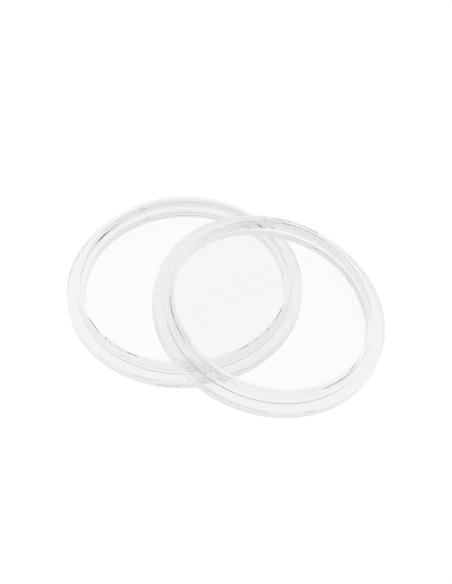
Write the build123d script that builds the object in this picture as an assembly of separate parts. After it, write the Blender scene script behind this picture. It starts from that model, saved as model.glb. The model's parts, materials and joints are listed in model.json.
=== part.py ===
from build123d import *
import os
from math import atan2, cos, degrees, hypot, radians, sin

# Round coin capsule: two clear mouldings, each a thin window in a thick flange with an upstanding ring.
# The cap lies flat, open side up, centred on the origin. The tray leans on it, also open side up.
# Millimetres and degrees. The origin is the centre of the cap's underside, and +Z is up.

# Driving dimensions
COIN_POCKET_DIAMETER = 32.6
FLANGE_DIAMETER = 38.5
FLANGE_THICKNESS = 1.8
WINDOW_TOP = 0.7
HALF_HEIGHT = 4.3
RING_WALL = 1.3
SPIGOT_WALL = 0.6
RING_CLEARANCE = 0.05
STEP_ABOVE_FLANGE = 0.25

# The window is set back from the face that rests on the table
WINDOW_RECESS = 0.1
RECESS_RADIUS = 16.5
RECESS_SLOPE = 0.15

# Snap bead on the tray's spigot, with its groove in the cap's socket
BEAD_FROM_TIP = 0.9
BEAD_HALF_WIDTH = 0.25
BEAD_HEIGHT = 0.04
GROOVE_DEPTH = 0.06

# Edge roundings
FOOT_ROUNDING = 0.3
FLANGE_ROUNDING = 0.12
ROOT_ROUNDING = 0.12
RING_TIP_ROUNDING = 0.12
STEP_ROUNDING = 0.08
POCKET_ROUNDING = 0.15

# Trimmed injection gate on the flange edge
GATE_FLAT_DEPTH = 0.06
GATE_WIDTH = 1.2
GATE_HEIGHT = 0.6
GATE_PROUD = 0.04
CAP_GATE_AZIMUTH = 110
TRAY_GATE_AZIMUTH = 75

# Where the tray's centre lies over the table, and which way its low edge points
TRAY_OFFSET_X = 13.3
TRAY_OFFSET_Y = -9.4
LEAN_AZIMUTH = -15.3
CONTACT_GAP = 0.03

POCKET_RADIUS = COIN_POCKET_DIAMETER / 2
FLANGE_RADIUS = FLANGE_DIAMETER / 2
RING_RADIUS = POCKET_RADIUS + RING_WALL
SPIGOT_RADIUS = POCKET_RADIUS + SPIGOT_WALL
SOCKET_RADIUS = SPIGOT_RADIUS + RING_CLEARANCE
STEP_TOP = FLANGE_THICKNESS + STEP_ABOVE_FLANGE
BEAD_LEVEL = HALF_HEIGHT - BEAD_FROM_TIP
GROOVE_LEVEL = STEP_TOP + BEAD_FROM_TIP


def turned(corners):
    """Body of revolution about Z from its outline: (radius, height, rounding of that corner)."""
    section = make_face(Polyline(*[(r, z) for r, z, _ in corners], close=True))
    for r, z, rounding in corners:
        if rounding > 0:
            corner = section.vertices().sort_by_distance((r, z, 0))[0]
            section = fillet(corner, rounding)
    return revolve(Plane.XZ * section, Axis.Z)


def flange_outline():
    """Underside and flange, shared by both halves, from the axis out and up to the ring's root."""
    return [
        (0, WINDOW_RECESS, 0),
        (RECESS_RADIUS - RECESS_SLOPE, WINDOW_RECESS, 0),
        (RECESS_RADIUS, 0, 0),
        (FLANGE_RADIUS, 0, FOOT_ROUNDING),
        (FLANGE_RADIUS, FLANGE_THICKNESS, FLANGE_ROUNDING),
        (RING_RADIUS, FLANGE_THICKNESS, ROOT_ROUNDING),
    ]


def window_outline():
    """Foot of the pocket wall and the window's inner face, shared by both halves, in to the axis."""
    return [
        (POCKET_RADIUS, WINDOW_TOP, POCKET_ROUNDING),
        (0, WINDOW_TOP, 0),
    ]


def with_gate(half, azimuth):
    """Flange edge with the flat and the low stub that are left where the gate was trimmed."""
    flat_radius = FLANGE_RADIUS - GATE_FLAT_DEPTH
    middle = FLANGE_THICKNESS / 2
    cutter = Pos(flat_radius + middle, 0, middle) * Box(2 * middle, FLANGE_RADIUS, 4 * middle)
    stub = Pos(flat_radius, 0, middle) * Box(2 * GATE_PROUD, GATE_WIDTH, GATE_HEIGHT)
    turn = Rot(0, 0, azimuth)
    return half - turn * cutter + turn * stub


def cap_half():
    """Half with the outer ring: a full wall up to the step, then a thinner socket wall."""
    socket = [
        (RING_RADIUS, HALF_HEIGHT, RING_TIP_ROUNDING),
        (SOCKET_RADIUS, HALF_HEIGHT, RING_TIP_ROUNDING),
        (SOCKET_RADIUS, GROOVE_LEVEL + BEAD_HALF_WIDTH, 0),
        (SOCKET_RADIUS + GROOVE_DEPTH, GROOVE_LEVEL, 0),
        (SOCKET_RADIUS, GROOVE_LEVEL - BEAD_HALF_WIDTH, 0),
        (SOCKET_RADIUS, STEP_TOP, STEP_ROUNDING),
        (POCKET_RADIUS, STEP_TOP, STEP_ROUNDING),
    ]
    return with_gate(turned(flange_outline() + socket + window_outline()), CAP_GATE_AZIMUTH)


def tray_half():
    """Half with the inner ring, where the coin sits: a full wall to the step, then the spigot."""
    spigot = [
        (RING_RADIUS, STEP_TOP, STEP_ROUNDING),
        (SPIGOT_RADIUS, STEP_TOP, STEP_ROUNDING),
        (SPIGOT_RADIUS, BEAD_LEVEL - BEAD_HALF_WIDTH, 0),
        (SPIGOT_RADIUS + BEAD_HEIGHT, BEAD_LEVEL, 0),
        (SPIGOT_RADIUS, BEAD_LEVEL + BEAD_HALF_WIDTH, 0),
        (SPIGOT_RADIUS, HALF_HEIGHT, RING_TIP_ROUNDING),
        (POCKET_RADIUS, HALF_HEIGHT, RING_TIP_ROUNDING),
    ]
    return with_gate(turned(flange_outline() + spigot + window_outline()), TRAY_GATE_AZIMUTH)


def foot_height(lean):
    """Height of the leaning tray's underside centre when its low edge touches the table."""
    return (FLANGE_RADIUS - FOOT_ROUNDING) * sin(lean) + FOOT_ROUNDING * (1 - cos(lean))


def ring_overlap(lean):
    """How far the cap's rounded ring top stands above the leaning tray's window, with a gap."""
    along = TRAY_OFFSET_X * cos(radians(LEAN_AZIMUTH)) + TRAY_OFFSET_Y * sin(radians(LEAN_AZIMUTH))
    ring_reach = (RING_RADIUS - RING_TIP_ROUNDING) * sin(lean)
    ring_rise = (HALF_HEIGHT - RING_TIP_ROUNDING) * cos(lean) + RING_TIP_ROUNDING
    window = along * sin(lean) + foot_height(lean) * cos(lean) + WINDOW_RECESS
    return ring_reach + ring_rise + CONTACT_GAP - window


def lean_angle():
    """Lean, in radians, at which the tray rests on the table and on the cap's ring at once."""
    low, high = radians(5), radians(30)
    for _ in range(40):
        middle = (low + high) / 2
        if ring_overlap(middle) > 0:
            low = middle
        else:
            high = middle
    return (low + high) / 2


def leaning(half):
    """The tray in its resting place: low edge on the table, window on the cap's ring."""
    lean = lean_angle()
    place = Pos(TRAY_OFFSET_X, TRAY_OFFSET_Y, foot_height(lean))
    return place * Rot(0, 0, LEAN_AZIMUTH) * Rot(0, degrees(lean), 0) * half


os.makedirs("parts", exist_ok=True)
export_step(cap_half(), "parts/cap_half.step")
export_step(leaning(tray_half()), "parts/tray_half.step")

print("closed height", round(HALF_HEIGHT + STEP_TOP, 2))
print("lean", round(degrees(lean_angle()), 3), "underside centre height", round(foot_height(lean_angle()), 4))
print(
    "offset",
    round(hypot(TRAY_OFFSET_X, TRAY_OFFSET_Y), 2),
    "towards",
    round(degrees(atan2(TRAY_OFFSET_Y, TRAY_OFFSET_X)), 1),
)
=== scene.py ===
import bmesh
import bpy
import json
from math import acos, atan2, cos, pi, radians, sin, tan
from mathutils import Matrix, Vector


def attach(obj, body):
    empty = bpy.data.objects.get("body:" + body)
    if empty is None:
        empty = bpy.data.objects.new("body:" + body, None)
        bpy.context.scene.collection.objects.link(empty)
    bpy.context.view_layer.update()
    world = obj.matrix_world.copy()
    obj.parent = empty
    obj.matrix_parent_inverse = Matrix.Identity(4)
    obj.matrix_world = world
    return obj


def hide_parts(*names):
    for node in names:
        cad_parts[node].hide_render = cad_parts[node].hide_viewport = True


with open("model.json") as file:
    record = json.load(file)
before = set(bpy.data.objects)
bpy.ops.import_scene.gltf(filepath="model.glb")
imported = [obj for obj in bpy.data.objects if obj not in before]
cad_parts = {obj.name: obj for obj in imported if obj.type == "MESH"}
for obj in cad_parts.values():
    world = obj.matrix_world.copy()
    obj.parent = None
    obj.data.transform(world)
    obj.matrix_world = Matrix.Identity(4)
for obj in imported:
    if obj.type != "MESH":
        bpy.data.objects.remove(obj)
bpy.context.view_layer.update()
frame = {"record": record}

# The camera, in metres: a long lens, so that both halves look the same size. The frame is as high as said
# at the table, and the view is centred a little right of and above the cap.
CAMERA_ELEVATION = radians(51.6)
CAMERA_ROLL = radians(-2.5)
CAMERA_DISTANCE = 1.0
FRAME_HEIGHT = 0.0956
AIM_RIGHT = 0.00678
AIM_UP = 0.00059
FILM_HEIGHT_MM = 36
CAMERA_REACH = 100

# The floor is a plain light table, so it's evenly white and shows no shadow
FLOOR_RADIUS = 20.0
FLOOR_SEGMENTS = 96
FLOOR_DROP = 0.00002
FLOOR_GLOW = 1.02

# Radiance of the studio by elevation: (sine of elevation, level). A white cove meets the floor, a dark gap
# above it draws the silhouettes, a bright band follows, and the ceiling over the camera is dim.
STUDIO = (
    (0.0, 1.02),
    (0.06, 1.02),
    (0.075, 0.02),
    (0.12, 0.05),
    (0.22, 0.9),
    (0.42, 1.4),
    (0.6, 0.7),
    (0.8, 0.9),
    (0.92, 0.2),
    (1.0, 0.5),
)
LIGHT_BOUNCES = 48

# Clear plastic, with painted shade in its colour: a light grey over the window and a darker grey over the
# thick rim stand in for the shade that the halves cast on the floor beneath them
WINDOW_PAINTED_SHADE = (0.96, 0.96, 0.96, 1)
RIM_PAINTED_SHADE = (0.885, 0.885, 0.885, 1)
SHADE_BLEND_MM = 0.2
PLASTIC_IOR = 1.49

# The mouldings, in millimetres, each about its own axis with its underside at height 0
MM = 0.001
FLANGE_RADIUS = 19.25
RING_RADIUS = 17.6
SOCKET_RADIUS = 16.95
SPIGOT_RADIUS = 16.9
POCKET_RADIUS = 16.3
RECESS_RADIUS = 16.5
RECESS_SLOPE = 0.15
FLANGE_TOP = 1.8
STEP_TOP = 2.05
HALF_HEIGHT = 4.3
WINDOW_TOP = 0.7
WINDOW_RECESS = 0.1
GROOVE_LEVEL = 2.95
BEAD_LEVEL = 3.4
BEAD_HALF_WIDTH = 0.25
BEAD_HEIGHT = 0.04
GROOVE_DEPTH = 0.06
FOOT_ROUNDING = 0.3
EDGE_ROUNDING = 0.12
STEP_ROUNDING = 0.08
POCKET_ROUNDING = 0.15
# Height of the middle of the pocket wall's straight part, where the record puts its coin pocket
POCKET_MIDDLE = (WINDOW_TOP + POCKET_ROUNDING + HALF_HEIGHT - EDGE_ROUNDING) / 2
GATE_LEVELS = (0.6, 1.2)
GATE_RADIUS = 19.19
GATE_HALF_WIDTH = 0.6
GATE_PROUD = 0.04
GATE_LEVEL_SLACK = 0.001
CAP_GATE_AZIMUTH = radians(110)
TRAY_GATE_AZIMUTH = radians(75)
# How finely the mouldings are turned, and how close to an edge its extra points lie
SEGMENTS = 540
ARC_STEPS = 6
EDGE_MARGIN = 0.02
LONG_RUN = 0.1


def foot_and_flange():
    """Outline from the axis out to the ring's root: (radius, height, rounding of that corner)."""
    return [
        (0, WINDOW_RECESS, 0),
        (RECESS_RADIUS - RECESS_SLOPE, WINDOW_RECESS, 0),
        (RECESS_RADIUS, 0, 0),
        (FLANGE_RADIUS, 0, FOOT_ROUNDING),
        (FLANGE_RADIUS, GATE_LEVELS[0], 0),
        (FLANGE_RADIUS, GATE_LEVELS[1], 0),
        (FLANGE_RADIUS, FLANGE_TOP, EDGE_ROUNDING),
        (RING_RADIUS, FLANGE_TOP, EDGE_ROUNDING),
    ]


def socket_ring():
    """The cap's ring: a full wall up to the step, then a thinner outer wall with the snap groove."""
    return [
        (RING_RADIUS, HALF_HEIGHT, EDGE_ROUNDING),
        (SOCKET_RADIUS, HALF_HEIGHT, EDGE_ROUNDING),
        (SOCKET_RADIUS, GROOVE_LEVEL + BEAD_HALF_WIDTH, 0),
        (SOCKET_RADIUS + GROOVE_DEPTH, GROOVE_LEVEL, 0),
        (SOCKET_RADIUS, GROOVE_LEVEL - BEAD_HALF_WIDTH, 0),
        (SOCKET_RADIUS, STEP_TOP, STEP_ROUNDING),
        (POCKET_RADIUS, STEP_TOP, STEP_ROUNDING),
    ]


def spigot_ring():
    """The tray's ring: a full wall up to the step, then a thinner inner wall with the snap bead."""
    return [
        (RING_RADIUS, STEP_TOP, STEP_ROUNDING),
        (SPIGOT_RADIUS, STEP_TOP, STEP_ROUNDING),
        (SPIGOT_RADIUS, BEAD_LEVEL - BEAD_HALF_WIDTH, 0),
        (SPIGOT_RADIUS + BEAD_HEIGHT, BEAD_LEVEL, 0),
        (SPIGOT_RADIUS, BEAD_LEVEL + BEAD_HALF_WIDTH, 0),
        (SPIGOT_RADIUS, HALF_HEIGHT, EDGE_ROUNDING),
        (POCKET_RADIUS, HALF_HEIGHT, EDGE_ROUNDING),
    ]


def rounded(corners):
    """The outline's points, with an arc at each rounded corner."""
    points = [Vector(corners[0][:2])]
    for before, corner, after in zip(corners, corners[1:], corners[2:]):
        here = Vector(corner[:2])
        if corner[2] == 0:
            points.append(here)
            continue
        back = (Vector(before[:2]) - here).normalized()
        ahead = (Vector(after[:2]) - here).normalized()
        half = back.angle(ahead) / 2
        reach = corner[2] / tan(half)
        centre = here + (back + ahead).normalized() * (corner[2] / sin(half))
        start = (here + back * reach - centre).normalized()
        end = (here + ahead * reach - centre).normalized()
        for step in range(ARC_STEPS + 1):
            points.append(centre + start.slerp(end, step / ARC_STEPS) * corner[2])
    points.append(Vector(corners[-1][:2]))
    return points


def with_margins(points):
    """Extra points close to the ends of each long run, so that flat faces shade flat."""
    result = []
    for start, end in zip(points, points[1:]):
        result.append(start)
        length = (end - start).length
        if length > LONG_RUN:
            result.append(start.lerp(end, EDGE_MARGIN / length))
            result.append(start.lerp(end, 1 - EDGE_MARGIN / length))
    result.append(points[-1])
    return result


def at_gate(radius, height, turn):
    """The point at that turn from the gate, with the gate's flat and its low stub."""
    along = radius * cos(turn)
    across = radius * sin(turn)
    if along > GATE_RADIUS:
        low, high = GATE_LEVELS
        level = low - GATE_LEVEL_SLACK < height < high + GATE_LEVEL_SLACK
        on_stub = level and abs(across) < GATE_HALF_WIDTH
        along = GATE_RADIUS + GATE_PROUD * on_stub
    return along, across


def moulding(name, ring, gate_azimuth, place):
    """One half, turned about its axis and put in its place."""
    outline = with_margins(rounded(foot_and_flange() + ring + [
        (POCKET_RADIUS, WINDOW_TOP, POCKET_ROUNDING),
        (0, WINDOW_TOP, 0),
    ]))
    work = bmesh.new()
    rings = []
    for radius, height in outline:
        if radius == 0:
            rings.append([work.verts.new((0, 0, height * MM))])
            continue
        row = []
        for k in range(SEGMENTS):
            turn = 2 * pi * k / SEGMENTS - pi
            along, across = at_gate(radius, height, turn)
            x = along * cos(gate_azimuth) - across * sin(gate_azimuth)
            y = along * sin(gate_azimuth) + across * cos(gate_azimuth)
            row.append(work.verts.new((x * MM, y * MM, height * MM)))
        rings.append(row)
    for lower, upper in zip(rings, rings[1:]):
        for k in range(SEGMENTS):
            after = (k + 1) % SEGMENTS
            if len(lower) == 1:
                work.faces.new((lower[0], upper[after], upper[k]))
            elif len(upper) == 1:
                work.faces.new((lower[k], lower[after], upper[0]))
            else:
                work.faces.new((lower[k], lower[after], upper[after], upper[k]))
    bmesh.ops.recalc_face_normals(work, faces=work.faces)
    for face in work.faces:
        face.smooth = True
    mesh = bpy.data.meshes.new(name)
    work.to_mesh(mesh)
    work.free()
    mesh.transform(place)
    piece = bpy.data.objects.new(name, mesh)
    bpy.context.scene.collection.objects.link(piece)
    return piece


def node_tree(name):
    """A new material with its nodes and its shader."""
    material = bpy.data.materials.new(name)
    material.use_nodes = True
    tree = material.node_tree
    return material, tree, tree.nodes["Principled BSDF"]


def vector_math(tree, operation, first, second=(0, 0, 0)):
    """A vector sum node that works on a socket and a fixed vector."""
    node = tree.nodes.new("ShaderNodeVectorMath")
    node.operation = operation
    node.inputs[1].default_value = second
    tree.links.new(first, node.inputs[0])
    return node


def off_axis(tree, point, place):
    """Distance of the shaded point from the moulding's own axis."""
    arm = vector_math(tree, "SUBTRACT", point, place.translation)
    across = vector_math(tree, "CROSS_PRODUCT", arm.outputs[0], place.col[2].xyz)
    return vector_math(tree, "LENGTH", across.outputs[0]).outputs["Value"]


def clear_plastic(name, place):
    """Polished clear moulding, with painted shade in its colour: the thick rim is a touch greyer than the
    window, for the floor's shade under the ring and flange.
    """
    material, tree, shader = node_tree(name)
    shader.inputs["Transmission Weight"].default_value = 1.0
    shader.inputs["IOR"].default_value = PLASTIC_IOR
    shader.inputs["Roughness"].default_value = 0.0
    where = tree.nodes.new("ShaderNodeTexCoord")
    radius = off_axis(tree, where.outputs["Object"], place)
    # Painted shade: outside the pocket wall's radius the colour turns from the window's light grey to the
    # rim's darker grey
    rim_shade_mask = tree.nodes.new("ShaderNodeMapRange")
    rim_shade_mask.inputs["From Min"].default_value = (POCKET_RADIUS - SHADE_BLEND_MM) * MM
    rim_shade_mask.inputs["From Max"].default_value = (POCKET_RADIUS + SHADE_BLEND_MM) * MM
    painted_shade = tree.nodes.new("ShaderNodeMix")
    painted_shade.data_type = "RGBA"
    # A mix node's colour sockets are 6 and 7, and its colour result is 2
    painted_shade.inputs[6].default_value = WINDOW_PAINTED_SHADE
    painted_shade.inputs[7].default_value = RIM_PAINTED_SHADE
    link = tree.links.new
    link(radius, rim_shade_mask.inputs["Value"])
    link(rim_shade_mask.outputs["Result"], painted_shade.inputs[0])
    link(painted_shade.outputs[2], shader.inputs["Base Color"])
    return material


def floor_paint():
    """Evenly glowing white that reflects nothing."""
    material, tree, shader = node_tree("floor_paint")
    shader.inputs["Base Color"].default_value = (0, 0, 0, 1)
    shader.inputs["Roughness"].default_value = 1.0
    shader.inputs["Specular IOR Level"].default_value = 0.0
    shader.inputs["Emission Color"].default_value = (1, 1, 1, 1)
    shader.inputs["Emission Strength"].default_value = FLOOR_GLOW
    return material


def make_floor():
    mesh = bpy.data.meshes.new("floor")
    work = bmesh.new()
    bmesh.ops.create_circle(work, cap_ends=True, radius=FLOOR_RADIUS, segments=FLOOR_SEGMENTS)
    work.to_mesh(mesh)
    work.free()
    floor = bpy.data.objects.new("floor", mesh)
    bpy.context.scene.collection.objects.link(floor)
    floor.location.z = -FLOOR_DROP
    mesh.materials.append(floor_paint())


def studio_world():
    """Soft light that depends on elevation alone, and the path settings that clear plastic needs."""
    world = bpy.data.worlds.new("studio")
    world.use_nodes = True
    tree = world.node_tree
    background = tree.nodes["Background"]
    where = tree.nodes.new("ShaderNodeTexCoord")
    split = tree.nodes.new("ShaderNodeSeparateXYZ")
    ramp = tree.nodes.new("ShaderNodeValToRGB")
    peak = max(level for _, level in STUDIO)
    elements = ramp.color_ramp.elements
    while len(elements) < len(STUDIO):
        elements.new(0.5)
    for element, (height, level) in zip(elements, STUDIO):
        element.position = height
        element.color = (level / peak,) * 3 + (1,)
    tree.links.new(where.outputs["Generated"], split.inputs[0])
    tree.links.new(split.outputs["Z"], ramp.inputs["Fac"])
    tree.links.new(ramp.outputs["Color"], background.inputs["Color"])
    background.inputs["Strength"].default_value = peak
    scene = bpy.context.scene
    scene.world = world
    scene.view_settings.view_transform = "Standard"
    scene.cycles.denoising_input_passes = "RGB"
    scene.cycles.blur_glossy = 0.0
    scene.cycles.max_bounces = LIGHT_BOUNCES
    scene.cycles.transmission_bounces = LIGHT_BOUNCES
    scene.cycles.glossy_bounces = LIGHT_BOUNCES


def make_camera():
    """Camera that looks down at the table from the front, turned a little about its own axis."""
    right0 = Vector((1, 0, 0))
    up0 = Vector((0, sin(CAMERA_ELEVATION), cos(CAMERA_ELEVATION)))
    back = Vector((0, -cos(CAMERA_ELEVATION), sin(CAMERA_ELEVATION)))
    right = right0 * cos(CAMERA_ROLL) + up0 * sin(CAMERA_ROLL)
    up = up0 * cos(CAMERA_ROLL) - right0 * sin(CAMERA_ROLL)
    data = bpy.data.cameras.new("camera")
    data.sensor_fit = "VERTICAL"
    data.sensor_height = FILM_HEIGHT_MM
    data.lens = FILM_HEIGHT_MM * CAMERA_DISTANCE / FRAME_HEIGHT
    data.clip_end = CAMERA_REACH
    camera = bpy.data.objects.new("camera", data)
    bpy.context.scene.collection.objects.link(camera)
    place = Matrix((right, up, back)).transposed().to_4x4()
    place.translation = right * AIM_RIGHT + up * AIM_UP + back * CAMERA_DISTANCE
    camera.matrix_world = place
    bpy.context.scene.camera = camera


def tray_place():
    """Where the leaning tray lies, from the record's coin pocket."""
    pocket = next(mount for mount in frame["record"]["mounts"] if mount["name"] == "coin_pocket")
    axis = Vector(pocket["axis"])
    centre = Vector(pocket["pos_m"]) - axis * POCKET_MIDDLE * MM
    turn = Matrix.Rotation(atan2(axis.y, axis.x), 4, "Z")
    lean = Matrix.Rotation(acos(axis.z), 4, "Y")
    return Matrix.Translation(centre) @ turn @ lean


for body, ring, gate_azimuth, place in (
    ("cap", socket_ring(), CAP_GATE_AZIMUTH, Matrix.Identity(4)),
    ("tray", spigot_ring(), TRAY_GATE_AZIMUTH, tray_place()),
):
    piece = moulding(body + "_moulding", ring, gate_azimuth, place)
    piece.data.materials.append(clear_plastic("clear_" + body, place))
    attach(piece, body)
    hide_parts(body + "_half")
make_floor()
studio_world()
make_camera()
